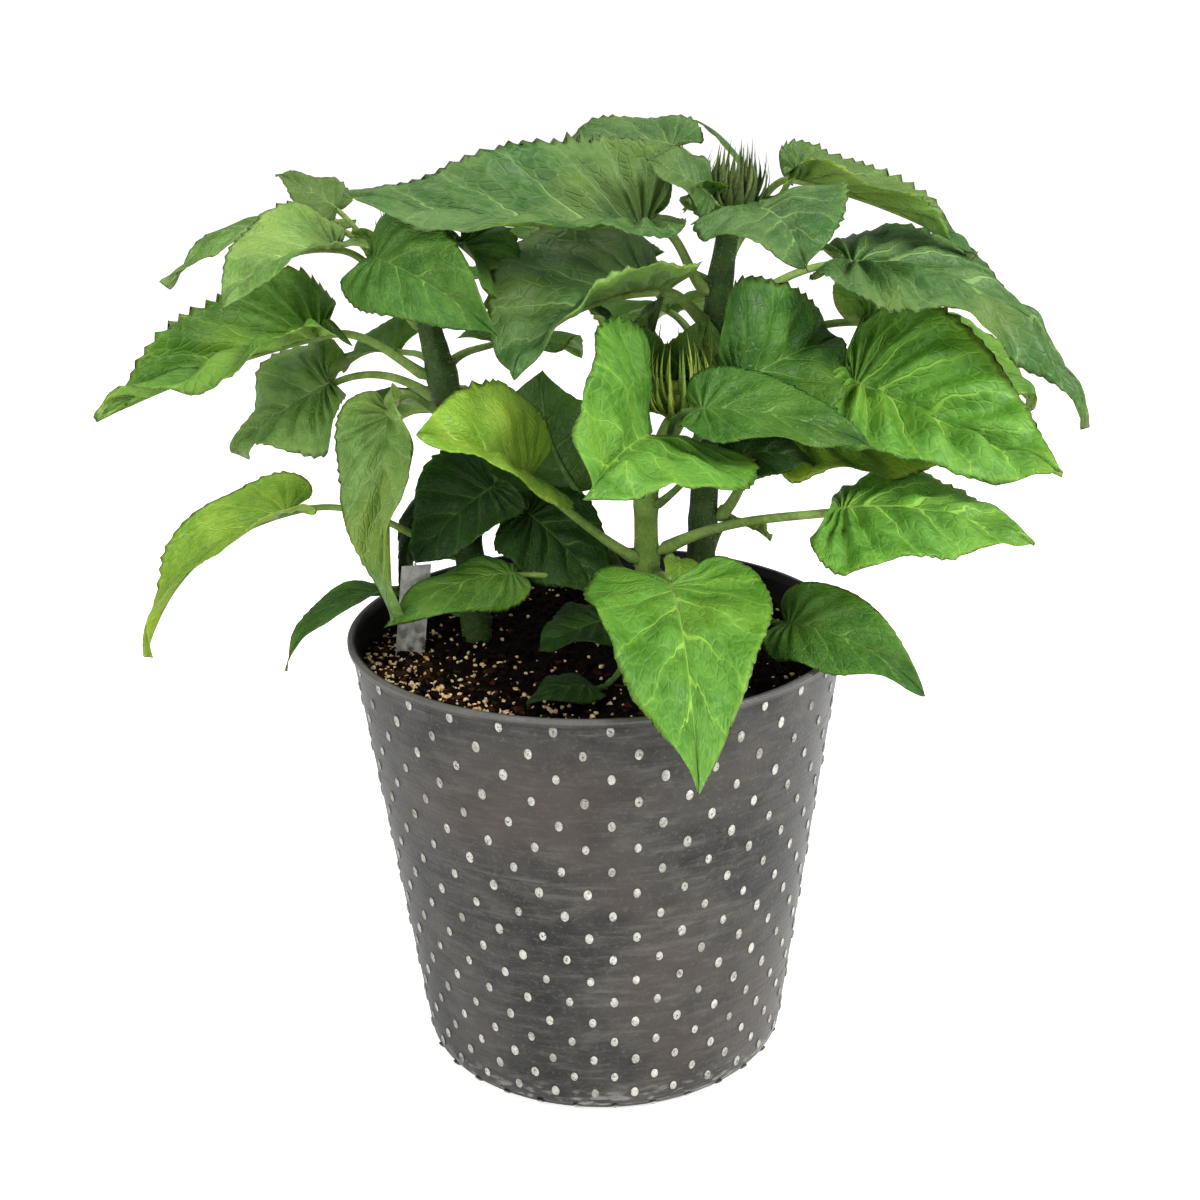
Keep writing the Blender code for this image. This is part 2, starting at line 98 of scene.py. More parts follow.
# Each leaf: its stem, the height it leaves it at, blade's base, tip, width, how far its left and right halves
# are raised in degrees, the midrib's bow up and to the right, its green, and its margin's teeth,
# ripple and puckering in parts of its width. The young ones round the buds stand in for no frame node.
LEAVES = {
    "leaf_left_01": ("left", 395, (-123, 32, 437), (-154, 46, 452), 24, -20, 30, 0.05, 0, "dusky", 0.04, 0.05, 0.02),
    "leaf_left_02": ("left", 386, (-120, 0, 423), (-170, -45, 403), 54, 10, 45, 0.12, 0, "sage", 0.03, 0.04, 0.02),
    "leaf_left_03": ("left", 376, (-128, 48, 426), (-212, 45, 397), 50, -10, 25, 0.15, 0, "sage", 0.05, 0.05, 0.03),
    "leaf_left_04": ("left", 402, (-102, -10, 420), (-42, -52, 389), 50, 48, -2, 0.08, 0, "deep", 0.02, 0.03, 0.02),
    "leaf_left_05": ("left", 352, (-130, 8, 380), (-238, -20, 345), 72, 20, 60, 0.03, 0, "mid", 0.05, 0.08, 0.06),
    "leaf_left_06": ("left", 340, (-133, 50, 346), (-187, 60, 306), 65, -40, 60, 0.05, 0, "sage", 0.03, 0.07, 0.05),
    "leaf_left_07": ("left", 332, (-97, -20, 349), (-98, -45, 249), 50, 66, 22, 0.05, 0, "sage", 0.02, 0.06, 0.04),
    "leaf_left_08": ("left", 358, (-50, 50, 365), (-5, 100, 345), 58, 10, 10, 0.1, 0, "mid", 0.02, 0.03, 0.02),
    "leaf_left_09": ("left", 356, (-100, 60, 360), (-133, 90, 342), 40, 0, 50, 0.1, 0, "mid", 0.02, 0.03, 0.02),
    "leaf_left_10": ("left", 255, (-150, 0, 293), (-228, -10, 220), 46, 20, 40, 0.15, 0, "lime", 0.03, 0.05, 0.025),
    "leaf_left_11": ("left", 300, (-50, 0, 303), (-90, -15, 268), 56, 20, 20, 0.1, 0, "painted_shade", 0.02, 0.04, 0.02),
    "leaf_left_12": ("left", 270, (-34, 7, 287), (8, -8, 240), 54, 35, -10, 0.05, 0, "painted_shade", 0.02, 0.05, 0.03),
    "leaf_left_13": ("left", 270, (-80, 45, 290), (-102, 40, 235), 45, 10, 10, 0.1, 0, "painted_shade", 0.02, 0.03, 0.02),
    "leaf_left_14": ("left", 224, (-107, 22, 241), (-158, -15, 213), 24, 0, 25, 0.18, 0, "deep", 0.02, 0.05, 0.02),
    "leaf_left_15": ("left", 368, (-82, 78, 392), (-98, 145, 360), 62, 10, 10, 0.12, 0, "mid", 0.03, 0.04, 0.03),
    "leaf_left_16": ("left", 310, (-90, 82, 330), (-120, 140, 290), 66, 10, 10, 0.12, 0, "mid", 0.03, 0.04, 0.03),
    "leaf_front_01": ("front", 302, (71, -11, 355), (126, 46, 364), 84, 60, 10, 0.05, 0, "deep", 0.03, 0.03, 0.02),
    "leaf_front_02": ("front", 318, (50, -38, 350), (131, -55, 333), 42, 25, 0, 0.08, 0, "deep", 0.02, 0.04, 0.02),
    "leaf_front_03": ("front", 300, (27, -25, 334), (-4, -120, 332), 108, 2, 78, 0.05, 0, "fresh", 0.015, 0.02, 0.012),
    "leaf_front_04": ("front", 288, (66, -25, 323), (108, -16, 315), 36, 20, 0, 0.1, 0, "painted_shade", 0.02, 0.03, 0.02),
    "leaf_front_05": ("front", 258, (-31, -30, 316), (-79, -80, 352), 76, -10, 85, 0.05, 0, "lime", 0.03, 0.02, 0.01),
    "leaf_front_06": ("front", 262, (118, -31, 297), (206, -64, 287), 92, 2, -16, 0.08, 0, "fresh", 0.02, 0.016, 0.03),
    "leaf_front_07": ("front", 240, (-8, 32, 290), (-25, 42, 352), 84, -90, 90, 0.1, 0, "painted_shade", 0.02, 0.02, 0.01),
    "leaf_front_08": ("front", 245, (36, -50, 267), (43, -165, 210), 80, 10, 10, 0.12, 0, "fresh", 0.010, 0.03, 0.018),
    "leaf_front_09": ("front", 232, (-40, -20, 264), (-103, -45, 246), 34, -40, 20, 0.1, 0, "mid", 0.02, 0.06, 0.02),
    "leaf_front_10": ("front", 221, (5, -2, 232), (-30, -16, 222), 44, 10, 10, 0.05, 0, "painted_shade", 0.02, 0.03, 0.02),
    "leaf_front_11": ("front", 216, (-4, -60, 219), (-34, -85, 221), 26, 0, 0, 0.1, 0, "painted_shade", 0.02, 0.03, 0.02),
    "leaf_front_12": ("front", 285, (15, 62, 300), (-20, 130, 265), 70, 10, 10, 0.12, 0, "mid", 0.03, 0.04, 0.03),
    "leaf_front_13": ("front", 308, (26, 22, 351), (38, 28, 393), 52, 70, 0, 0.05, 0, "deep", 0.02, 0.03, 0.02),
    "leaf_front_14": ("front", 240, (42, 0, 262), (40, -12, 243), 18, 20, 20, 0.1, 0, "lime", 0.02, 0.03, 0.02),
    "leaf_right_01": ("right", 426, (78, 50, 448), (52, 80, 471), 14, 0, 0, 0.1, 0, "dusky", 0.04, 0.04, 0.01),
    "leaf_right_02": ("right", 420, (45, 58, 460), (-26, 92, 454), 45, -15, 35, 0.08, 0, "dusky", 0.05, 0.04, 0.02),
    "leaf_right_03": ("right", 424, (57, 8, 444), (28, -2, 461), 36, 0, 30, 0.05, 0, "dusky", 0.04, 0.05, 0.02),
    "leaf_right_04": ("right", 425, (82, 3, 437), (98, -62, 417), 70, 30, -5, 0.1, 0, "dusky", 0.03, 0.03, 0.02),
    "leaf_right_05": ("right", 422, (102, 38, 446), (193, 40, 406), 56, 40, 20, 0.04, 0, "dusky", 0.06, 0.05, 0.04),
    "leaf_right_06": ("right", 390, (30, 12, 429), (-114, -13, 449), 86, 18, 50, -0.03, 0, "dusky", 0.045, 0.035, 0.03),
    "leaf_right_07": ("right", 380, (126, 30, 406), (242, 0, 326), 70, 20, -20, 0.18, 0, "dusky", 0.05, 0.05, 0.05),
    "leaf_right_08": ("right", 375, (32, 6, 399), (-36, -58, 371), 114, 28, 25, 0.08, 0.1, "dusky", 0.02, 0.02, 0.012),
    "leaf_right_09": ("right", 330, (129, 18, 349), (223, -40, 313), 95, 68, -15, 0, 0, "fresh", 0.02, 0.03, 0.055),
    "leaf_right_10": ("right", 345, (140, 60, 370), (235, 80, 316), 80, 40, -20, 0.1, 0, "mid", 0.03, 0.05, 0.05),
    # leaf_right_11 takes the paler lime green as painted light, lifting it against the shadow of leaf_right_09 above.
    "leaf_right_11": ("right", 272, (97, 23, 325), (204, 33, 297), 86, 30, -6, 0.06, 0, "lime", 0.02, 0.04, 0.03),
    "leaf_right_12": ("right", 232, (92, -45, 244), (154, -85, 221), 43, 45, -10, 0.12, 0, "deep", 0.01, 0.04, 0.02),
    "leaf_right_13": ("right", 245, (72, 62, 262), (95, 80, 245), 26, 30, 0, 0.1, 0, "lime", 0.03, 0.08, 0.02),
    "leaf_right_14": ("right", 400, (85, 82, 418), (105, 145, 390), 60, 10, 10, 0.12, 0, "mid", 0.03, 0.04, 0.03),
    "leaf_right_15": ("right", 352, (42, 88, 372), (20, 155, 340), 72, 10, 10, 0.12, 0, "mid", 0.03, 0.04, 0.03),
    "leaf_right_16": ("right", 300, (95, 88, 325), (130, 145, 290), 72, 10, 10, 0.12, 0, "mid", 0.03, 0.04, 0.03),
    "leaf_right_17": ("right", 395, (28, 52, 406), (-46, 72, 418), 42, 0, 25, 0.05, 0, "mid", 0.02, 0.03, 0.02),
    "young_right_01": ("right", 428, (60, 22, 436), (47, -14, 443), 22, 30, -10, 0.15, 0, "dusky", 0.06, 0.08, 0.03),
    "young_right_02": ("right", 427, (82, 26, 434), (101, 20, 455), 16, 30, 20, -0.15, 0, "deep", 0.06, 0.08, 0.02),
    "young_right_03": ("right", 424, (66, 18, 428), (74, -14, 434), 20, 10, 30, 0.15, 0, "mid", 0.05, 0.08, 0.03),
    "young_left_03": ("left", 400, (-62, 6, 424), (-38, -8, 384), 42, 30, 30, 0.1, 0, "deep", 0.04, 0.05, 0.03),
    "young_left_01": ("left", 405, (-78, 12, 414), (-62, -18, 428), 20, 20, 10, 0.15, 0, "deep", 0.05, 0.08, 0.03),
    "young_left_02": ("left", 405, (-96, 14, 416), (-112, -6, 430), 20, 20, 20, 0.12, 0, "mid", 0.05, 0.08, 0.03),
    "young_front_01": ("front", 334, (50, -14, 342), (74, -42, 350), 22, 20, 20, 0.15, 0, "mid", 0.03, 0.08, 0.03),
    # young_front_02 is a dark leaf in the painted-shade green, filling the shadowed gap behind the front bud.
    "young_front_02": ("front", 330, (38, 18, 344), (4, 26, 388), 54, 20, 30, -0.05, 0, "painted_shade", 0.04, 0.06, 0.03),
    "young_front_03": ("front", 330, (46, 16, 342), (58, 24, 382), 42, 30, 20, -0.05, 0, "deep", 0.04, 0.06, 0.03),
}

# Buds: width across the bracts, lean in degrees, bract length and width, spread of the outer bracts
# in degrees, whorls, and colour.
BUDS = {
    "left": (24, -10, 27, 6.5, 40, 4, "dark"),
    "front": (32, 0, 40, 5.0, 95, 6, "pale"),
    "right": (26, 5, 31, 6.0, 38, 4, "dark"),
}
BRACTS = 14  # in each whorl
BUD_HAIRS = 420

# Linear colours: the upper face's dark and light patches, its veins, and the paler face below.
GREENS = {
    "dusky": ((0.020, 0.070, 0.010), (0.068, 0.132, 0.034), (0.20, 0.32, 0.10), (0.12, 0.22, 0.04)),
    "sage": ((0.060, 0.138, 0.018), (0.135, 0.240, 0.058), (0.30, 0.43, 0.14), (0.18, 0.30, 0.06)),
    "deep": ((0.016, 0.066, 0.006), (0.050, 0.130, 0.015), (0.14, 0.26, 0.05), (0.10, 0.20, 0.03)),
    "mid": ((0.034, 0.104, 0.007), (0.085, 0.190, 0.022), (0.24, 0.40, 0.07), (0.15, 0.29, 0.035)),
    "fresh": ((0.036, 0.120, 0.008), (0.088, 0.222, 0.026), (0.28, 0.50, 0.07), (0.18, 0.36, 0.035)),
    "lime": ((0.092, 0.200, 0.013), (0.180, 0.300, 0.028), (0.34, 0.50, 0.08), (0.22, 0.36, 0.03)),
    # painted_shade: a leaf green darkened to stand for the shadow deep inside the plant, painted shade.
    "painted_shade": ((0.005, 0.022, 0.002), (0.014, 0.048, 0.004), (0.08, 0.17, 0.03), (0.04, 0.10, 0.012)),
}


# ---------------------------------------------------------------- shader groups and materials

def add(tree, kind, inputs=None, **settings):
    """A node with its settings made and its inputs set, or linked where an output is given."""
    made = tree.nodes.new(kind)
    for key, value in settings.items():
        setattr(made, key, value)
    for key, value in (inputs or {}).items():
        if isinstance(value, bpy.types.NodeSocket):
            tree.links.new(value, made.inputs[key])
        else:
            made.inputs[key].default_value = value
    return made


def maths(tree, operation, *values):
    return add(tree, "ShaderNodeMath", dict(enumerate(values)), operation=operation).outputs[0]


def blend(tree, share, first, second):
    return add(tree, "ShaderNodeMix", {0: share, 6: first, 7: second}, data_type="RGBA").outputs[2]


def fade(tree, value, start, end, low=0.0, high=1.0):
    """A smooth step of a value from low at start to high at end."""
    made = add(tree, "ShaderNodeMapRange", {0: value, 1: start, 2: end, 3: low, 4: high})
    made.interpolation_type = "SMOOTHSTEP"
    return made.outputs[0]


def place_on_piece(tree):
    return add(tree, "ShaderNodeTexCoord").outputs["Object"]


def cloud(tree, where, scale, detail=2.0, **more):
    """Soft noise, 0 to 1."""
    return add(tree, "ShaderNodeTexNoise", {"Vector": where, "Scale": scale, "Detail": detail, **more}).outputs[0]


def stretched(tree, where, *scale):
    return add(tree, "ShaderNodeMapping", {"Vector": where, "Scale": scale}).outputs[0]


def new_group(name, inputs, outputs):
    """An empty shader group with named sockets: its tree, its inputs and its output node."""
    tree = bpy.data.node_groups.new(name, "ShaderNodeTree")
    for label, kind, value in inputs:
        socket = tree.interface.new_socket(label, in_out="INPUT", socket_type=kind)
        if value is not None:
            socket.default_value = value
    for label, kind in outputs:
        tree.interface.new_socket(label, in_out="OUTPUT", socket_type=kind)
    return tree, tree.nodes.new("NodeGroupInput").outputs, tree.nodes.new("NodeGroupOutput").inputs


def leaf_veins_group():
    """Veins of a leaf from its own map: across on X with the midrib at 0.5, a side vein at each row on Y."""
    tree, given, result = new_group(
        "leaf_veins",
        [("Map", "NodeSocketVector", None), ("Width", "NodeSocketFloat", 0.03)],
        [(label, "NodeSocketFloat") for label in ("Veins", "Halo", "Net", "Height")],
    )
    wobble = cloud(tree, given["Map"], 7.0)
    split = add(tree, "ShaderNodeSeparateXYZ", {0: given["Map"]})
    across = maths(tree, "ABSOLUTE", maths(tree, "MULTIPLY_ADD", split.outputs["X"], 2.0, -1.0))
    along = maths(tree, "MULTIPLY", split.outputs["Y"], float(VEINS))
    along = maths(tree, "ADD", along, maths(tree, "MULTIPLY_ADD", wobble, 0.5, -0.25))
    nearest = maths(tree, "PINGPONG", along, 0.5)
    spread = maths(tree, "MULTIPLY", nearest, maths(tree, "ADD", across, 0.10))
    side = fade(tree, spread, maths(tree, "MULTIPLY", given["Width"], 0.35), given["Width"], 1.0, 0.0)
    side = maths(tree, "MULTIPLY", side, fade(tree, across, 0.25, 1.0, 1.0, 0.30))
    midrib = fade(tree, across, 0.012, 0.032, 1.0, 0.0)
    veins = maths(tree, "MAXIMUM", side, midrib)
    halo = maths(tree, "MAXIMUM", fade(tree, spread, 0.0, 0.08, 1.0, 0.0), fade(tree, across, 0.0, 0.10, 1.0, 0.0))
    meshes = stretched(tree, given["Map"], 16.0, 40.0, 1.0)
    cells = add(tree, "ShaderNodeTexVoronoi", {"Vector": meshes, "Scale": 1.0}, feature="DISTANCE_TO_EDGE")
    net = fade(tree, cells.outputs["Distance"], 0.02, 0.14, 1.0, 0.0)
    sunk = maths(tree, "MAXIMUM", veins, maths(tree, "MULTIPLY", net, 0.35))
    height = maths(tree, "MULTIPLY_ADD", sunk, -1.0, 1.0)
    for label, value in (("Veins", veins), ("Halo", halo), ("Net", net), ("Height", height)):
        tree.links.new(value, result[label])
    return tree


def mottle_group():
    """Two colours mixed in soft patches of two sizes."""
    tree, given, result = new_group(
        "mottle",
        [("Dark", "NodeSocketColor", None), ("Light", "NodeSocketColor", None), ("Scale", "NodeSocketFloat", 30.0)],
        [("Colour", "NodeSocketColor"), ("Patches", "NodeSocketFloat")],
    )
    place = place_on_piece(tree)
    broad = cloud(tree, place, given["Scale"], 3.0)
    fine = cloud(tree, place, maths(tree, "MULTIPLY", given["Scale"], 6.0), 4.0)
    patches = fade(tree, maths(tree, "MULTIPLY_ADD", fine, 0.4, maths(tree, "MULTIPLY", broad, 0.7)), 0.38, 0.72)
    tree.links.new(blend(tree, patches, given["Dark"], given["Light"]), result["Colour"])
    tree.links.new(patches, result["Patches"])
    return tree


def skin_grain_group():
    """A fine bumpy grain, as height, with its own scale."""
    tree, given, result = new_group(
        "skin_grain", [("Scale", "NodeSocketFloat", 900.0)], [("Height", "NodeSocketFloat")]
    )
    tree.links.new(cloud(tree, place_on_piece(tree), given["Scale"], 3.0), result["Height"])
    return tree


VEINS_GROUP = leaf_veins_group()
MOTTLE_GROUP = mottle_group()
GRAIN_GROUP = skin_grain_group()


def use(tree, group, **inputs):
    made = tree.nodes.new("ShaderNodeGroup")
    made.node_tree = group
    for key, value in inputs.items():
        if isinstance(value, bpy.types.NodeSocket):
            tree.links.new(value, made.inputs[key])
        else:
            made.inputs[key].default_value = (*value, 1) if isinstance(value, tuple) else value
    return made.outputs


def new_material(name, specular=None, **plain):
    """A material and its Principled shader, with the numbers that hold all over it."""
    made = bpy.data.materials.new(name)
    made.use_nodes = True
    shader = made.node_tree.nodes["Principled BSDF"]
    if specular is not None:
        shader.inputs["Specular IOR Level"].default_value = specular
    for key, value in plain.items():
        shader.inputs[key.replace("_", " ")].default_value = value
    return made, made.node_tree, shader


def bumped(tree, shader, height, depth, strength):
    bump = add(tree, "ShaderNodeBump", {"Height": height, "Distance": depth, "Strength": strength})
    tree.links.new(bump.outputs[0], shader.inputs["Normal"])


def leaf_face(name, dark, light, vein, raised):
    """One face of a leaf: patchy green, pale veins and a fine net; the veins sink above and stand out below."""
    made, tree, shader = new_material(name, 0.22, Subsurface_Weight=0.12, Subsurface_Scale=0.002)
    shader.inputs["Subsurface Radius"].default_value = (0.6, 1.0, 0.2)
    where = add(tree, "ShaderNodeUVMap", uv_map="blade").outputs[0]
    veins = use(tree, VEINS_GROUP, Map=where, Width=0.019)
    mottle = use(tree, MOTTLE_GROUP, Dark=dark, Light=light, Scale=34.0)
    sunned = cloud(tree, place_on_piece(tree), 19.0)
    yellowed = (min(1, 1.5 * light[0]), 1.12 * light[1], 0.7 * light[2], 1)
    ground = blend(tree, fade(tree, sunned, 0.48, 0.70, 0.0, 0.45), mottle["Colour"], yellowed)
    pale = tuple(0.6 * a + 0.4 * b for a, b in zip(light, vein))
    colour = blend(tree, maths(tree, "MULTIPLY", veins["Halo"], 0.28), ground, (*pale, 1))
    colour = blend(tree, maths(tree, "MULTIPLY", veins["Net"], 0.14), colour, (*pale, 1))
    colour = blend(tree, maths(tree, "MULTIPLY", veins["Veins"], 0.46), colour, (*vein, 1))
    tree.links.new(colour, shader.inputs["Base Color"])
    tree.links.new(fade(tree, mottle["Patches"], 0.0, 1.0, 0.44, 0.60), shader.inputs["Roughness"])
    grain = use(tree, GRAIN_GROUP, Scale=150.0)
    vein_relief = maths(tree, "MULTIPLY", veins["Height"], -1.0 if raised else 1.0)
    relief = maths(tree, "MULTIPLY_ADD", grain["Height"], 0.7, vein_relief)
    bumped(tree, shader, relief, 0.0010, 0.85)
    return made


def hairy_green(name, dark, light):
    """The ribbed, finely hairy skin of stems, stalks and bracts."""
    made, tree, shader = new_material(name, 0.2, Roughness=0.6, Subsurface_Weight=0.08, Subsurface_Scale=0.001)
    mottle = use(tree, MOTTLE_GROUP, Dark=dark, Light=light, Scale=90.0)
    specks = cloud(tree, place_on_piece(tree), 1500.0)
    pale = tuple(0.8 * part + 0.12 for part in light)
    colour = blend(tree, fade(tree, specks, 0.58, 0.72, 0.0, 0.35), mottle["Colour"], (*pale, 1))
    tree.links.new(colour, shader.inputs["Base Color"])
    bumped(tree, shader, use(tree, GRAIN_GROUP, Scale=1100.0)["Height"], 0.0006, 0.7)
    return made


def scuffed_plastic():
    """Dark grey moulded plastic: faint rings, dust, rusty tints, a scuffed foot, a lighter band at the lip painted as
    highlight, and a near-black inside painted as shade.
    """
    made, tree, shader = new_material("pot_grey_plastic", 0.24)
    place = place_on_piece(tree)
    level = add(tree, "ShaderNodeSeparateXYZ", {0: place}).outputs["Z"]
    mottle = use(tree, MOTTLE_GROUP, Dark=(0.006, 0.006, 0.006), Light=(0.038, 0.036, 0.032), Scale=11.0)
    rings = cloud(tree, stretched(tree, place, 2.0, 2.0, 260.0), 2.0, 3.0)
    smears = cloud(tree, stretched(tree, place, 1.0, 1.0, 5.0), 34.0, 8.0, Roughness=0.72)
    dust = maths(tree, "MULTIPLY", fade(tree, smears, 0.46, 0.68), fade(tree, rings, 0.35, 0.75, 0.4, 1.0))
    colour = blend(tree, maths(tree, "MULTIPLY", dust, 0.55), mottle["Colour"], (0.125, 0.118, 0.105, 1))
    fine = cloud(tree, place, 420.0, 4.0, Roughness=0.7)
    colour = blend(tree, fade(tree, fine, 0.52, 0.72, 0.0, 0.40), colour, (0.105, 0.098, 0.088, 1))
    rust = cloud(tree, place, 11.0)
    colour = blend(tree, fade(tree, rust, 0.50, 0.72, 0.0, 0.40), colour, (0.050, 0.030, 0.024, 1))
    scuff = cloud(tree, stretched(tree, place, 1.0, 1.0, 3.0), 120.0, 5.0)
    foot = maths(tree, "MULTIPLY", fade(tree, level, 0.022, 0.003), fade(tree, scuff, 0.50, 0.62))
    colour = blend(tree, maths(tree, "MULTIPLY", foot, 0.5), colour, (0.34, 0.33, 0.30, 1))
    # A lighter band round the top of the lip: painted highlight on its edge.
    rim = fade(tree, level, (POT_HEIGHT - 2.8) * MM, (POT_HEIGHT - 1.2) * MM, 0.0, 0.35)
    colour = blend(tree, rim, colour, (0.16, 0.155, 0.145, 1))
    # The inside face of the wall is painted near black: painted shade within the pot.
    flat = add(tree, "ShaderNodeVectorMath", {0: place, 1: (1, 1, 0)}, operation="MULTIPLY").outputs[0]
    from_axis = add(tree, "ShaderNodeVectorMath", {0: flat}, operation="LENGTH").outputs["Value"]
    wall = maths(tree, "MULTIPLY_ADD", level, (RIM_RADIUS - BASE_RADIUS) / POT_HEIGHT, (BASE_RADIUS - WALL / 2) * MM)
    painted_inside_shade = fade(tree, maths(tree, "SUBTRACT", wall, from_axis), -0.0002, 0.0004)
    colour = blend(tree, painted_inside_shade, colour, (0.008, 0.008, 0.007, 1))
    tree.links.new(colour, shader.inputs["Base Color"])
    tree.links.new(fade(tree, dust, 0.0, 1.0, 0.34, 0.60), shader.inputs["Roughness"])
    grain = use(tree, GRAIN_GROUP, Scale=700.0)["Height"]
    bumped(tree, shader, maths(tree, "MULTIPLY_ADD", rings, 1.4, grain), 0.0004, 0.5)
    return made


def nub_plastic():
    """The pot's raised nubs: plastic at the foot, rubbed white and chalky on top."""
    made, tree, shader = new_material("nub_rubbed_white", Roughness=0.6)
    worn = add(tree, "ShaderNodeAttribute", attribute_name="rubbed").outputs["Fac"]
    specks = cloud(tree, place_on_piece(tree), 900.0, 3.0)
    share = maths(tree, "MULTIPLY", fade(tree, worn, 0.12, 0.42), fade(tree, specks, 0.28, 0.48))
    mottle = use(tree, MOTTLE_GROUP, Dark=(0.020, 0.019, 0.018), Light=(0.050, 0.046, 0.042), Scale=20.0)
    white = use(tree, MOTTLE_GROUP, Dark=(0.20, 0.19, 0.165), Light=(0.46, 0.45, 0.41), Scale=60.0)
    tree.links.new(blend(tree, share, mottle["Colour"], white["Colour"]), shader.inputs["Base Color"])
    bumped(tree, shader, specks, 0.0005, 0.6)
    return made


def crumbly(name, dark, light, scale):
    """Peat, bark and perlite: rough, patchy and dull."""
    made, tree, shader = new_material(name, 0.06, Roughness=0.95)
    colour = use(tree, MOTTLE_GROUP, Dark=dark, Light=light, Scale=scale)["Colour"]
    tree.links.new(colour, shader.inputs["Base Color"])
    bumped(tree, shader, use(tree, GRAIN_GROUP, Scale=scale * 3)["Height"], 0.0012, 0.9)
    return made


def frosted_label():
    """Frosted clear plastic, smudged with soil towards its foot."""
    made, tree, shader = new_material("label_frosted_plastic", Roughness=0.35)
    place = place_on_piece(tree)
    level = add(tree, "ShaderNodeSeparateXYZ", {0: place}).outputs["Z"]
    smudge = cloud(tree, place, 220.0, 5.0)
    low_down = fade(tree, level, (SOIL_LEVEL + 30) * MM, (SOIL_LEVEL + 2) * MM, 0.15, 1.0)
    dirt = maths(tree, "MULTIPLY", low_down, fade(tree, smudge, 0.46, 0.60))
    clear = use(tree, MOTTLE_GROUP, Dark=(0.26, 0.27, 0.24), Light=(0.62, 0.62, 0.57), Scale=60.0)["Colour"]
    tree.links.new(blend(tree, dirt, clear, (0.05, 0.045, 0.035, 1)), shader.inputs["Base Color"])
    tree.links.new(fade(tree, dirt, 0.0, 1.0, 0.78, 1.0), shader.inputs["Alpha"])
    bumped(tree, shader, smudge, 0.0004, 0.5)
    return made


# ---------------------------------------------------------------- shaping tools

def sheet(bm, columns, rows, place, surface=0, map_of=None):
    """Lays a grid into the mesh: place(across, along) puts each corner, with across -1 to 1 and along 0 to 1."""
    corners = bmesh.ops.create_grid(bm, x_segments=columns, y_segments=rows, size=1)["verts"]
    spot = {corner: (round(corner.co.x, 5), (corner.co.y + 1) / 2) for corner in corners}
    for face in {face for corner in corners for face in corner.link_faces}:
        face.material_index = surface
        face.smooth = True
        if map_of:
            left = sum(spot[corner][0] for corner in face.verts) < 0
            for loop in face.loops:
                loop[bm.loops.layers.uv["blade"]].uv = map_of(*spot[loop.vert], left)
    for corner, (across, along) in spot.items():
        corner.co = place(across, along)
    return corners


def grown_piece(bm, name, node, slot, *surfaces):
    """Closes seams and poles, turns the mesh to metres, and stands the piece in for its frame node."""
    bmesh.ops.remove_doubles(bm, verts=bm.verts, dist=0.004)
    bmesh.ops.dissolve_degenerate(bm, edges=bm.edges, dist=0.0005)
    bmesh.ops.recalc_face_normals(bm, faces=bm.faces)
    bmesh.ops.scale(bm, vec=(MM, MM, MM), verts=bm.verts)
    mesh = bpy.data.meshes.new(name)
    bm.to_mesh(mesh)
    bm.free()
    for surface in surfaces:
        mesh.materials.append(surface)
    made = bpy.data.objects.new(name, mesh)
    bpy.context.scene.collection.objects.link(made)
    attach(made, "root")
    if node:
        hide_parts(node)
    return made


def new_mesh():
    bm = bmesh.new()
    bm.loops.layers.uv.new("blade")
    return bm


def through(points, share):
    """A smooth curve through evenly counted points (tuples of numbers), read at a share of its run."""
    run = share * (len(points) - 1)
    i = min(int(run), len(points) - 2)
    f = run - i
    before, start, end, after = (points[max(0, min(len(points) - 1, k))] for k in (i - 1, i, i + 1, i + 2))
    return [
        b + 0.5 * f * (c - a + f * (2 * a - 5 * b + 4 * c - d + f * (3 * (b - c) + d - a)))
        for a, b, c, d in zip(before, start, end, after)
    ]


def bezier(ends, share):
    """The point and heading of a cubic curve."""
    rest = 1 - share
    a, b, c, d = ends
    point = rest**3 * a + 3 * rest**2 * share * b + 3 * rest * share**2 * c + share**3 * d
    heading = rest**2 * (b - a) + 2 * rest * share * (c - b) + share**2 * (d - c)
    return point, heading.normalized()


def tube(bm, centre_of, radius_of, columns, rows, surface, ribs=0.0):
    """A closed round stalk along centre_of(share), with radius_of(share); its ends draw to a point."""
    def place(across, along):
        centre, heading, side = centre_of(along)
        top = side.cross(heading)
        turn = math.pi * across
        size = radius_of(along) * (1 + ribs * math.cos(7 * turn)) * min(1, 30 * along, 30 * (1 - along))
        return centre + size * (math.cos(turn) * side + math.sin(turn) * top)
    return sheet(bm, columns, rows, place, surface)


def in_batches(bm, count, make_one, layer=None):
    """Adds count small shapes to a mesh, each made by make_one(batch, number), a few dozen at a time."""
    for first in range(0, count, 40):
        batch = bmesh.new()
        if layer:
            batch.verts.layers.float.new(layer)
        for number in range(first, min(count, first + 40)):
            make_one(batch, number)
        carried = bpy.data.meshes.new("carried")
        batch.to_mesh(carried)
        batch.free()
        bm.from_mesh(carried)
        bpy.data.meshes.remove(carried)


def standing_on(centre, heading, side, radius, chance):
    """A point anywhere round a stalk's skin, and the direction it faces."""
    turn = chance.uniform(0, 6.28)
    direction = math.cos(turn) * side + math.sin(turn) * side.cross(heading)
    return centre + radius * direction, direction


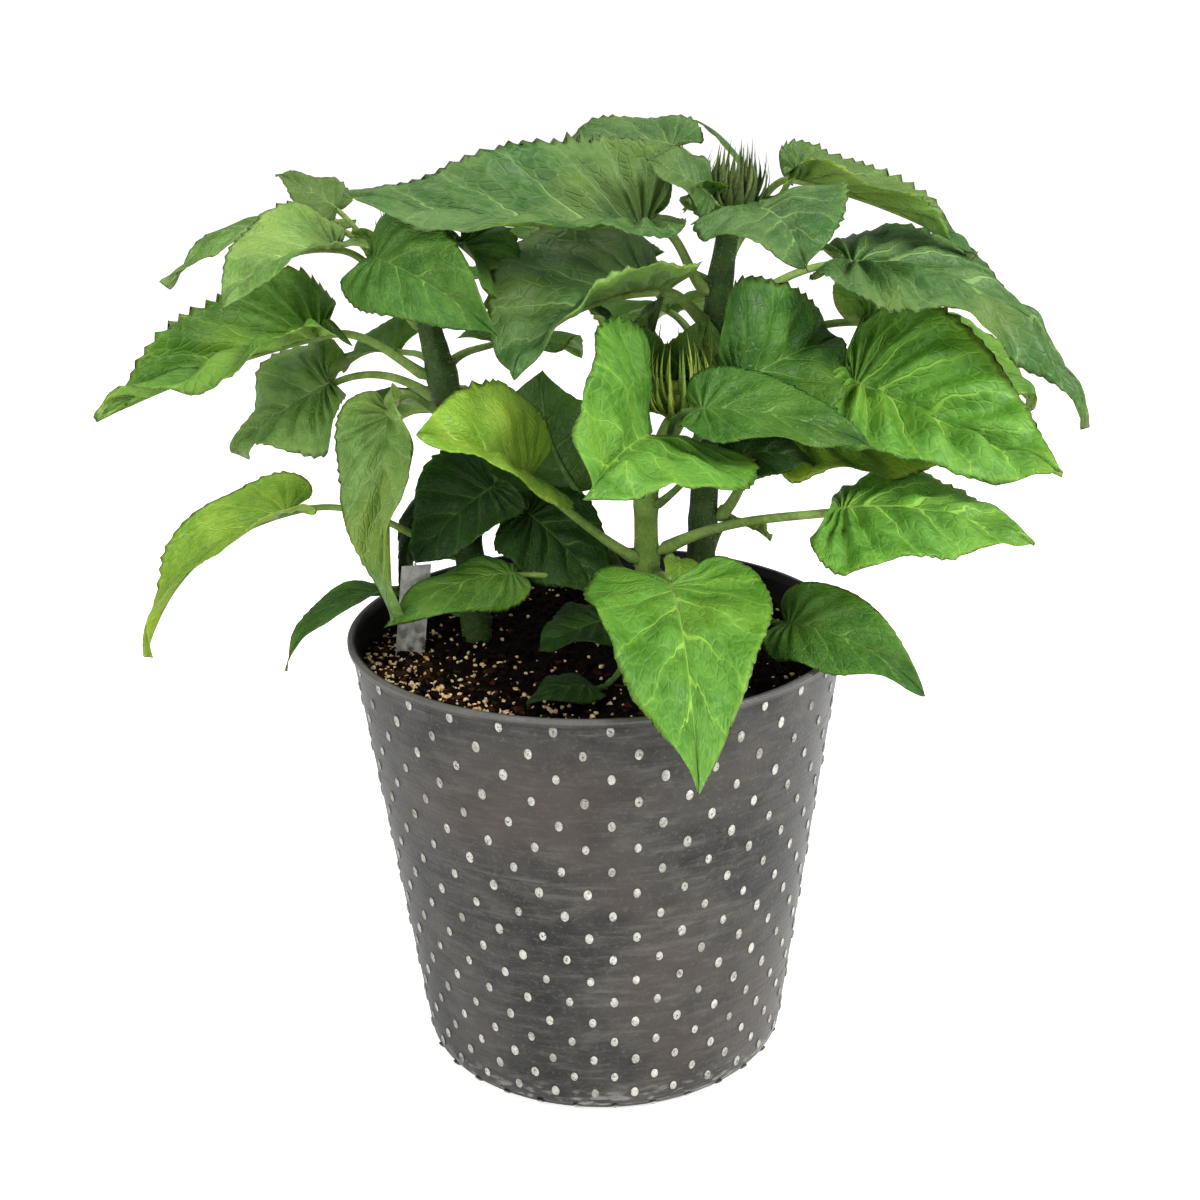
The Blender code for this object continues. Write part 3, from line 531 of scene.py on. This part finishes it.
def hairs(bm, root_of, count, length, surface, chance):
    """Short stiff hairs: slender cones standing on the points and outward directions of root_of(chance)."""
    def hair(batch, _):
        root, outward = root_of(chance)
        tilt = (outward + Vector([chance.uniform(-0.4, 0.4) for _ in range(3)])).normalized()
        size = length * chance.uniform(0.5, 1.2)
        stand = Matrix.Translation(root + tilt * size / 2) @ tilt.to_track_quat("Z", "Y").to_matrix().to_4x4()
        cone = bmesh.ops.create_cone(
            batch, cap_ends=True, segments=3, radius1=ROOT_HAIR, radius2=0.0, depth=size, matrix=stand
        )
        for face in {face for corner in cone["verts"] for face in corner.link_faces}:
            face.material_index = surface

    in_batches(bm, count, hair)


# ---------------------------------------------------------------- leaves

class Blade:
    """The bent surface of one leaf blade, in shares of its width and length."""

    def __init__(self, base, tip, width, left, right, arch, sway, outward, teeth, ripple, pucker, chance):
        self.base = Vector(base)
        chord = Vector(tip) - self.base
        self.length = chord.length
        self.width = FULLNESS * width
        self.roll = math.radians(right - left) / 2
        self.fold = math.radians(right + left) / 2
        self.axis = chord.normalized()
        upward = UP + 0.5 * outward
        self.normal = (upward - upward.dot(self.axis) * self.axis).normalized()
        self.side = self.axis.cross(self.normal)
        self.bend = arch * self.normal + sway * self.side
        self.teeth, self.ripple, self.pucker = teeth, RIPPLE * ripple, PUCKER * pucker
        self.tooth_count = 12 + int(self.length / 6)
        self.phases = [chance.uniform(0, 6.28) for _ in range(4)]
        self.seed = Vector([chance.uniform(-90, 90) for _ in range(3)])

    def frame(self, along):
        """The midrib's point, heading, right-hand side and upper face at a share of the length."""
        bow = 4 * along * (1 - along)
        slope = 4 * (1 - 2 * along)
        centre = self.base + self.length * (along * self.axis + bow * self.bend)
        heading = (self.axis + slope * self.bend).normalized()
        upper = (self.normal - self.normal.dot(heading) * heading).normalized()
        side = heading.cross(upper)
        turned = math.cos(self.roll) * side + math.sin(self.roll) * upper
        return centre, heading, turned, math.cos(self.roll) * upper - math.sin(self.roll) * side

    def point(self, across, row, lift):
        """A corner of the blade: across is -1 to 1 from margin to margin, row 0 to 1 from stalk to tip."""
        half_width, margin_at, midrib_at = through(HALF_OUTLINE, row)
        reach = abs(across)
        hand = 1 if across > 0 else -1
        uneven = noise.noise(Vector((9 * row, 4 * hand, self.phases[0])))
        tooth = (row * self.tooth_count + 0.7 * uneven) % 1
        tooth_size = self.teeth * (0.6 + uneven) * (1.6 * tooth**1.5 - 0.6)
        edge = 1 + tooth_size * min(1, 5 * row * (1 - row)) / max(0.25, half_width)
        size = self.width * max(0, half_width) * reach * (1 + (edge - 1) * reach**8)
        along = midrib_at + reach * (0.82 + 0.18 * reach) * (margin_at - midrib_at)
        centre, _, side, upper = self.frame(max(-0.09, along))
        fold = self.fold * size / (size + 1.5) + 0.14 * math.sin(2.1 * along + self.phases[0]) * reach**2
        outwards = math.cos(fold) * hand * side + math.sin(fold) * upper
        facing = math.cos(fold) * upper - math.sin(fold) * hand * side
        droop = 0.06 * self.width * (2 * half_width * reach) ** 2
        swell = self.pucker * self.width * math.sin(math.pi * row * VEINS) ** 2 * math.sin(math.pi * reach**0.8)
        wave = self.ripple * self.width * reach**3 * math.sin(
            2 * math.pi * (2.6 + hand * 0.5) * row + self.phases[1 + (hand > 0)]
        )
        flat = Vector((hand * size, along * self.length, 0))
        swell += BUMPS * self.width * noise.noise(flat / 16 + self.seed) * min(1, 3 * reach)
        swell += self.pucker * 12 * noise.noise(flat / 6.5 - self.seed) * min(1, 3 * reach)
        return centre + size * outwards + (lift + swell + wave - droop) * facing


def blade_map(across, row, left):
    return (across + 1) / 2, row + (0.035 * min(1, 4 * row) if left else 0)


def stem_at(name, height):
    """The stem's centre and radius at a height."""
    run = STEMS[name]
    for lower, upper in zip(run, run[1:]):
        if height <= upper[2] or upper is run[-1]:
            share = (height - lower[2]) / (upper[2] - lower[2])
            x, y, z, radius = (a + (b - a) * share for a, b in zip(lower, upper))
            return Vector((x, y, z)), radius


def leaf(name, surfaces):
    """One leaf: its stalk, which runs on under the blade as the midrib, and its thin blade."""
    stem, height, base, tip, width, left, right, arch, sway, _, teeth, ripple, pucker = LEAVES[name]
    chance = random.Random(name)
    foot, stem_radius = stem_at(stem, height)
    outward = Vector(base) - foot
    outward.z = 0
    outward.normalize()
    blade = Blade(base, tip, width, left, right, arch, sway, outward, teeth, ripple, pucker, chance)
    bm = new_mesh()
    columns, rows = (28, 108) if width > 40 else (20, 72)
    for surface, lift in ((ABOVE, BLADE_SKIN), (BELOW, -BLADE_SKIN)):
        sheet(
            bm,
            columns,
            rows,
            lambda across, row: blade.point(across, row, lift * (1 - across**4) * min(1, 12 * (1 - row))),
            surface,
            blade_map,
        )
    start = foot + (stem_radius - 2.5) * outward
    _, blade_heading, blade_side, _ = blade.frame(0)
    reach = (blade.base - start).length
    rising = (outward + 0.7 * UP).normalized()
    ends = (start, start + 0.4 * reach * rising, blade.base - 0.35 * reach * blade_heading, blade.base)
    stalk_share = reach / (reach + 0.9 * blade.length)
    thick = 1.0 + 0.012 * width

    def midline(share):
        if share < stalk_share:
            part = share / stalk_share
            point, heading = bezier(ends, part)
            level = heading.cross(UP).normalized()
            side = level.lerp(blade_side, part).normalized()
            top = side.cross(heading).normalized()
            return point - top * 0.7 * radius(share) * part, heading, heading.cross(top)
        part = 0.9 * (share - stalk_share) / (1 - stalk_share)
        point, heading, side, upper = blade.frame(part)
        return point - upper * 0.7 * radius(share), heading, side

    def radius(share):
        if share < stalk_share:
            part = share / stalk_share
            return thick * (1.25 + 0.75 * (1 - part) ** 6 - 0.25 * part)
        return thick * (1 - 0.85 * ((share - stalk_share) / (1 - stalk_share)) ** 0.8)

    tube(bm, midline, radius, 12, 56, STALK)

    def root(chance):
        share = chance.uniform(0.03, stalk_share * 1.3)
        centre, heading, side = midline(share)
        return standing_on(centre, heading, side, 0.9 * radius(share), chance)

    hairs(bm, root, int(reach * 1.6), 0.9, HAIR, chance)
    grown_piece(bm, f"grown_{name}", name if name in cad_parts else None, "leaf_green", *surfaces)


# ---------------------------------------------------------------- stems and buds

def stem_piece(name, surfaces):
    """One stem: ribbed, swollen where leaves leave it, hairy, with its foot in the soil."""
    run = STEMS[name]
    route = [(run[0][0], run[0][1], run[0][2] - SOCKET_DEPTH + 1, run[0][3])] + run
    nodes = [row[1] for row in LEAVES.values() if row[0] == name]
    chance = random.Random(name)

    def level(share):
        return route[0][2] + share * (route[-1][2] - route[0][2])

    def at(share):
        height = level(share)
        for i, (lower, upper) in enumerate(zip(route, route[1:])):
            if height <= upper[2] or i == len(route) - 2:
                part = (i + (height - lower[2]) / (upper[2] - lower[2])) / (len(route) - 1)
                return through(route, part)

    def centre_of(share):
        here, ahead = Vector(at(share)[:3]), Vector(at(min(1, share + 0.02))[:3])
        heading = (ahead - here).normalized() if share < 0.97 else UP
        return here, heading, heading.cross(Vector((0, 1, 0))).normalized()

    def radius_of(share):
        swelling = sum(0.07 * math.exp(-(((level(share) - height) / 4) ** 2)) for height in nodes)
        return at(share)[3] * (0.97 + min(0.16, swelling))

    bm = new_mesh()
    tube(bm, centre_of, radius_of, 42, 150, 0, ribs=0.02)

    def root(chance):
        share = chance.uniform(0.1, 0.98)
        centre, heading, side = centre_of(share)
        return standing_on(centre, heading, side, 0.97 * radius_of(share), chance)

    hairs(bm, root, int(6 * (route[-1][2] - route[0][2])), 1.3, 1, chance)
    grown_piece(bm, f"grown_stem_{name}", f"stem_{name}", "stem_green", *surfaces)


def bud_piece(name, surfaces):
    """A closed bud: a round head under whorls of narrow pointed bracts that lean out and curl in again."""
    width, lean, long, wide, spread, whorls, _ = BUDS[name]
    x, y, z, radius = STEMS[name][-1]
    chance = random.Random(name)
    turn_out = Matrix.Rotation(math.radians(lean), 3, "Y")
    foot = Vector((x, y, z))
    bm = new_mesh()

    def head(across, along):
        turn = math.pi * across
        profile = through([(radius, -3), (width * 0.36, 2), (width * 0.46, 8), (width * 0.38, 14), (0, 17)], along)
        size = profile[0] * min(1, 20 * along)
        return foot + turn_out @ Vector((size * math.cos(turn), size * math.sin(turn), profile[1]))

    sheet(bm, 28, 16, head, 0)
    for whorl in range(whorls):
        inner = whorl / (whorls - 1)
        for step in range(BRACTS):
            turn = 2 * math.pi * (step + 0.5 * (whorl % 2) + chance.uniform(-0.15, 0.15)) / BRACTS
            outward = Vector((math.cos(turn), math.sin(turn), 0))
            beside = Vector((-math.sin(turn), math.cos(turn), 0))
            length = long * chance.uniform(0.62, 1.08) * (0.85 + 0.15 * inner)
            leaning = math.radians(spread * (1.25 - 0.8 * inner) * chance.uniform(0.8, 1.2))
            curl = leaning * chance.uniform(0.9, 1.3)
            twist = chance.uniform(-0.12, 0.12)
            start = outward * width * (0.40 - 0.10 * inner) + UP * (3 + 4 * inner)

            def bract(across, along, side=1):
                angle = leaning - curl * along * 0.8
                middle = start + length * along * (math.sin(angle) * outward + math.cos(angle) * UP)
                taper = 0.9 * (1 - along) ** 1.9 * (1 + 1.6 * along) + 0.16 * (1 - along) ** 0.6
                half = wide / 2 * taper * (1 - 0.25 * inner)
                cup = 0.28 * half * across**2
                thin = side * 0.22 * (1 - across**4) * (1 - along)
                point = middle + across * half * (beside + twist * outward) + (thin - cup) * (outward - 0.3 * UP)
                return foot + turn_out @ point

            sheet(bm, 4, 9, bract, 1 + whorl % 2)
            sheet(bm, 4, 9, lambda across, along: bract(across, along, -1), 1 + whorl % 2)

    def root(chance):
        turn = chance.uniform(0, 6.28)
        direction = Vector((math.cos(turn), math.sin(turn), chance.uniform(-0.5, 0.9))).normalized()
        return foot + turn_out @ (direction * width * 0.45 + UP * 8), turn_out @ direction

    hairs(bm, root, BUD_HAIRS, 2.6, HAIR, chance)
    grown_piece(bm, f"grown_bud_{name}", f"bud_{name}", "bud_green", *surfaces)


# ---------------------------------------------------------------- pot, label and soil

def wall_radius(height):
    return BASE_RADIUS + (RIM_RADIUS - BASE_RADIUS) * height / POT_HEIGHT


def outer_radius(height):
    """The pot's outside radius, with its rounded foot."""
    if height >= BASE_ROUNDING:
        return wall_radius(height)
    drop = BASE_ROUNDING - height
    return wall_radius(BASE_ROUNDING) - BASE_ROUNDING + math.sqrt(BASE_ROUNDING**2 - drop**2)


def pot_skin(surface):
    """The pot's smooth wall, turned on the wheel over the frame's, with its rolled lip and inner face."""
    outside = [(outer_radius(z) + SKIN, z) for z in (0.4, 1, 2, 3.5, 5.5, 8, 12, 40, 90, 140, 190, 222, 224.6)]
    lip = [
        (RIM_RADIUS + LIP * 0.6, 225.2), (RIM_RADIUS + LIP + SKIN, 226.4), (RIM_RADIUS + LIP + SKIN, 228.2),
        (RIM_RADIUS + LIP - 0.7, 229.2), (RIM_RADIUS - WALL + 0.2, 229.2), (RIM_RADIUS - WALL - 0.6, 228.4),
    ]
    inside = [(wall_radius(z) - WALL - 0.6, z) for z in (224, 216, 209)]
    middle = [(wall_radius(z) - WALL / 2, z) for z in (209, 120, 20, 6)]
    bm = bmesh.new()
    corners = [bm.verts.new((radius, 0, height)) for radius, height in outside + lip + inside + middle]
    edges = [bm.edges.new(pair) for pair in zip(corners, corners[1:] + corners[:1])]
    bmesh.ops.spin(
        bm, geom=corners + edges, axis=(0, 0, 1), cent=(0, 0, 0), angle=2 * math.pi, steps=160, use_merge=True
    )
    for face in bm.faces:
        face.smooth = True
    made = grown_piece(bm, "pot_skin", None, "pot_plastic", surface)
    made.data.set_sharp_from_angle(angle=math.radians(40))


def pot_nubs(surface):
    """Rings of small raised nubs round the wall, each a low rounded stud, rubbed white on top."""
    bm = bmesh.new()
    bm.verts.layers.float.new("rubbed")
    chance = random.Random("nubs")

    def stud(batch, number):
        ring, step = divmod(number, NUBS_ROUND)
        height = NUB_TOP - NUB_PITCH * ring + 0.28 * max(0, ring - 12) ** 2
        turn = math.radians(NUB_TURN + (step + ring % 2 / 2) * 360 / NUBS_ROUND) + chance.uniform(-0.002, 0.002)
        radius = outer_radius(height) + SKIN
        wide = NUB_SIZE + 0.25 * chance.uniform(-1, 1)
        proud = NUB_PROUD * chance.uniform(0.85, 1.1)
        slope = math.atan2(RIM_RADIUS - BASE_RADIUS, POT_HEIGHT) if height > BASE_ROUNDING else 0.9
        facing = Matrix.Rotation(turn, 4, "Z") @ Matrix.Rotation(math.pi / 2 + slope, 4, "Y")
        stand = Matrix.Translation((radius * math.cos(turn), radius * math.sin(turn), height)) @ facing
        corners = bmesh.ops.create_uvsphere(batch, u_segments=12, v_segments=8, radius=1)["verts"]
        wear = chance.uniform(0.75, 1.15)
        pit = 0.55 if ring < 5 or chance.random() < 0.25 else 0.0
        rubbed = batch.verts.layers.float["rubbed"]
        for corner in corners:
            out = max(0, corner.co.z)
            middle = math.hypot(corner.co.x, corner.co.y)
            dent = pit * math.exp(-((middle / 0.35) ** 2)) * (out > 0)
            corner[rubbed] = max(0, out * wear - 1.5 * dent)
            corner.co = Vector((
                corner.co.x * wide * 1.25, corner.co.y * wide * 0.85, corner.co.z * proud * (1 - 0.5 * dent)
            ))
        bmesh.ops.transform(batch, matrix=stand, verts=corners)

    in_batches(bm, NUB_ROWS * NUBS_ROUND, stud, "rubbed")
    for face in bm.faces:
        face.smooth = True
    grown_piece(bm, "pot_nubs", None, "pot_plastic", surface)


def crust_height(x, y):
    """How far the top of the mix stands above its level at a place."""
    return 1.2 + 1.6 * noise.noise(Vector((x / 22, y / 22, 3))) + 1.1 * noise.noise(Vector((x / 6, y / 6, 9)))


def soil_crust(surface):
    """The lumpy top of the potting mix, up against the wall all round."""
    def place(across, along):
        turn = math.pi * across
        radius = min(1, 2 * along, 2 - 2 * along) * (wall_radius(SOIL_LEVEL) - WALL - 0.9)
        x, y = radius * math.cos(turn), radius * math.sin(turn)
        top = along <= 0.5
        return Vector((x, y, SOIL_LEVEL + 0.4 + crust_height(x, y) if top and along < 0.5 else SOIL_LEVEL - 2))

    bm = bmesh.new()
    sheet(bm, 150, 96, place)
    grown_piece(bm, "soil_crust", None, "potting_mix", surface)


def soil_bits(name, surface, count, sizes, flatness, patch, seed):
    """Loose bits on the crust: small uneven lumps of one stuff, thrown where patch(x, y) lets them lie."""
    chance = random.Random(seed)
    bm = bmesh.new()

    def bit(batch, _):
        size = chance.uniform(*sizes)
        x = y = 2 * THROW
        while math.hypot(x, y) + size / 2 > BITS_WITHIN or chance.random() > patch(x, y):
            x, y = chance.uniform(-THROW, THROW), chance.uniform(-THROW, THROW)
        lump = bmesh.ops.create_icosphere(batch, subdivisions=1, radius=size / 2)["verts"]
        for corner in lump:
            corner.co *= chance.uniform(0.65, 1.25)
        tumble = Matrix.Rotation(chance.uniform(0, 6.28), 4, "Z") @ Matrix.Rotation(chance.gauss(0, 0.35), 4, "X")
        shape = Matrix.Diagonal((1.25, 0.85, flatness, 1))
        place = Matrix.Translation((x, y, SOIL_LEVEL + 0.6 + crust_height(x, y) + size * flatness * 0.25))
        bmesh.ops.transform(batch, matrix=place @ tumble @ shape, verts=lump)

    in_batches(bm, count, bit)
    grown_piece(bm, name, None, "potting_mix", surface)


def near_front_left(x, y):
    """Where the pale bits lie thickest: along the front and left rim."""
    return 0.045 + 0.955 * max(0.0, min(1.0, (-x - 1.1 * y - 30) / 80)) * (0.25 + 0.75 * (math.hypot(x, y) > 85))


# ---------------------------------------------------------------- making the pieces

stalk_green = hairy_green("stalk_green", (0.10, 0.17, 0.03), (0.20, 0.30, 0.07))
dark_stalk = hairy_green("stalk_dark_green", (0.04, 0.09, 0.015), (0.10, 0.18, 0.04))
hair_pale = hairy_green("hair_pale", (0.30, 0.38, 0.18), (0.50, 0.56, 0.36))
# The left and right stems' own dark green, darkened further as painted shade of the leaves over them.
stem_green = hairy_green("stem_skin_green_painted_shade", (0.012, 0.034, 0.004), (0.038, 0.078, 0.013))
bright_stem = hairy_green("stem_skin_bright", (0.08, 0.15, 0.018), (0.16, 0.25, 0.045))

faces = {
    green: (
        leaf_face(f"leaf_{green}_above", dark, light, vein, False),
        leaf_face(f"leaf_{green}_below", tuple(0.7 * part for part in below), below, vein, True),
    )
    for green, (dark, light, vein, below) in GREENS.items()
}
for name, row in LEAVES.items():
    # Stalks of the painted-shade leaves are dark as painted shade; those of the deep green leaves are their own dark
    # green.
    stalk = dark_stalk if row[9] in ("painted_shade", "deep") else stalk_green
    leaf(name, (*faces[row[9]], stalk, hair_pale))
for name in STEMS:
    stem_piece(name, (bright_stem if name == "front" else stem_green, hair_pale))
bud_greens = {
    "dark": (
        hairy_green("bud_head_dark", (0.02, 0.035, 0.01), (0.05, 0.07, 0.02)),
        hairy_green("bract_dark", (0.020, 0.045, 0.008), (0.060, 0.100, 0.020)),
        hairy_green("bract_dusky", (0.035, 0.065, 0.014), (0.100, 0.145, 0.040)),
    ),
    "pale": (
        hairy_green("bud_head_pale", (0.10, 0.14, 0.015), (0.20, 0.25, 0.03)),
        hairy_green("bract_yellow_green", (0.12, 0.18, 0.018), (0.26, 0.33, 0.05)),
        hairy_green("bract_fresh", (0.07, 0.13, 0.014), (0.16, 0.25, 0.035)),
    ),
}
for name, row in BUDS.items():
    bud_piece(name, (*bud_greens[row[6]], hair_pale))

plastic = scuffed_plastic()
peat = crumbly("peat_black", (0.0012, 0.0009, 0.0007), (0.008, 0.0045, 0.0028), 180.0)
for node, surface in (("pot", plastic), ("soil", peat), ("plant_label", frosted_label())):
    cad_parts[node].data.materials.clear()
    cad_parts[node].data.materials.append(surface)
pot_skin(plastic)
pot_nubs(nub_plastic())
soil_crust(peat)
bark = crumbly("bark_red_brown", (0.012, 0.004, 0.002), (0.050, 0.018, 0.007), 240.0)
perlite = crumbly("perlite_cream", (0.50, 0.26, 0.07), (0.95, 0.80, 0.50), 420.0)
soil_bits("soil_peat_lumps", peat, 1500, (1.5, 5.5), 0.7, lambda x, y: 1.0, "peat")
soil_bits("soil_bark_bits", bark, 460, (2.0, 6.5), 0.4, near_front_left, "bark")
soil_bits("soil_perlite_bits", perlite, 1400, (0.7, 3.0), 0.8, near_front_left, "perlite")


# ---------------------------------------------------------------- floor, light and camera, in metres

AIM = Vector((0.0018, 0, 0.242))  # the point the camera looks at
TILT, ROLL = math.radians(19.55), math.radians(-1.22)
AWAY = 1.014
LAMPS = [  # name, place, power and width
    ("right", (1.25, -0.9, 1.45), 54, 0.8),
    ("left", (-0.80, -1.40, 0.85), 21, 0.9),
    ("top", (-0.3, 0.3, 2.1), 18, 1.2),
]


def stage():
    """A plain pale floor that runs out of sight, soft daylight and three large soft lamps, the right one strongest."""
    bm = bmesh.new()
    bmesh.ops.create_grid(bm, x_segments=2, y_segments=2, size=6)
    bmesh.ops.translate(bm, vec=(0, 0, -0.0003), verts=bm.verts)
    mesh = bpy.data.meshes.new("floor")
    bm.to_mesh(mesh)
    bm.free()
    pale, tree, shader = new_material("pale_floor", Roughness=0.9)
    shader.inputs["Emission Color"].default_value = (1, 0.995, 0.98, 1)
    colour = use(tree, MOTTLE_GROUP, Dark=(0.88, 0.88, 0.87), Light=(0.93, 0.93, 0.92), Scale=3.0)["Colour"]
    tree.links.new(colour, shader.inputs["Base Color"])
    lit = add(tree, "ShaderNodeLightPath").outputs["Is Camera Ray"]
    tree.links.new(fade(tree, lit, 0.0, 1.0, 0.10, 0.62), shader.inputs["Emission Strength"])
    mesh.materials.append(pale)
    floor = bpy.data.objects.new("floor", mesh)
    bpy.context.scene.collection.objects.link(floor)

    world = bpy.data.worlds.new("soft_daylight")
    world.use_nodes = True
    tree = world.node_tree
    tree.nodes["Background"].inputs["Color"].default_value = (1, 1, 1, 1)
    seen = add(tree, "ShaderNodeLightPath").outputs["Is Camera Ray"]
    tree.links.new(fade(tree, seen, 0.0, 1.0, 0.42, 1.15), tree.nodes["Background"].inputs["Strength"])
    bpy.context.scene.world = world

    for name, place, power, size in LAMPS:
        lamp = bpy.data.lights.new(name, "AREA")
        lamp.energy = power
        lamp.size = size
        made = bpy.data.objects.new(name, lamp)
        made.location = place
        made.rotation_euler = (Vector((0, 0, 0.25)) - Vector(place)).to_track_quat("-Z", "Y").to_euler()
        bpy.context.scene.collection.objects.link(made)


def camera():
    """A 60 mm lens a metre away, looking down on the plant from a little above."""
    ahead = Vector((0, math.cos(TILT), -math.sin(TILT)))
    across = Vector((1, 0, 0))
    above = across.cross(ahead)
    turned = math.cos(ROLL) * across + math.sin(ROLL) * above
    lens = bpy.data.cameras.new("camera")
    lens.lens = 60
    lens.sensor_width = 36
    made = bpy.data.objects.new("camera", lens)
    facing = Matrix((turned, turned.cross(ahead), -ahead)).transposed().to_4x4()
    made.matrix_world = Matrix.Translation(AIM - AWAY * ahead) @ facing
    bpy.context.scene.collection.objects.link(made)
    bpy.context.scene.camera = made


stage()
camera()
bpy.context.scene.view_settings.view_transform = "Standard"
